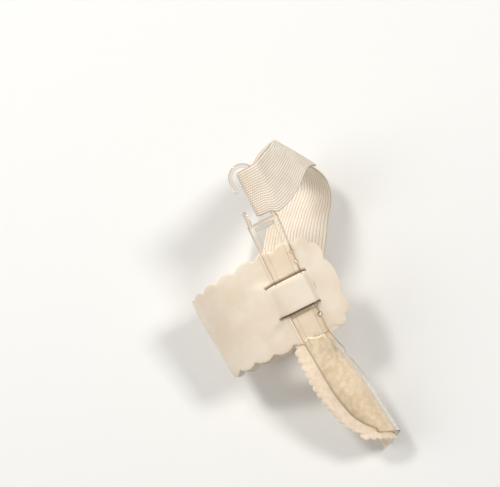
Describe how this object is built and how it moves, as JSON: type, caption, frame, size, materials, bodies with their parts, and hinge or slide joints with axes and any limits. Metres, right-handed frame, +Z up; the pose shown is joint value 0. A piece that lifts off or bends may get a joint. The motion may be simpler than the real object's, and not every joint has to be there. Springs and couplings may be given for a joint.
{
  "type": "bunion corrector",
  "caption": "Worn bunion corrector for a left foot: clear plastic toe splint, lined toe gutter, scalloped leatherette foot cuff and ribbed elastic strap.",
  "frame": {"origin": "middle of the hollow that the ball of the foot fills, straight under the splint's bridge in Y", "axes": "+Z up off the top of the foot, -Y to the toes, +X to the outer side of the foot"},
  "size_m": [0.0837, 0.1506, 0.0741],
  "materials": {
    "clear_plastic": "polished, slightly warm clear plastic",
    "tan_padding": "brushed soft pile",
    "peach_liner": "matte soft nonwoven",
    "cream_leatherette": "satin, smooth",
    "cream_elastic": "matte ribbed weave"
  },
  "bodies": {
    "root": {"splint": "clear_plastic", "shell_padding": "tan_padding", "toe_liner": "peach_liner", "foot_cuff": "cream_leatherette", "elastic_strap": "cream_elastic"}
  },
  "joints": []
}
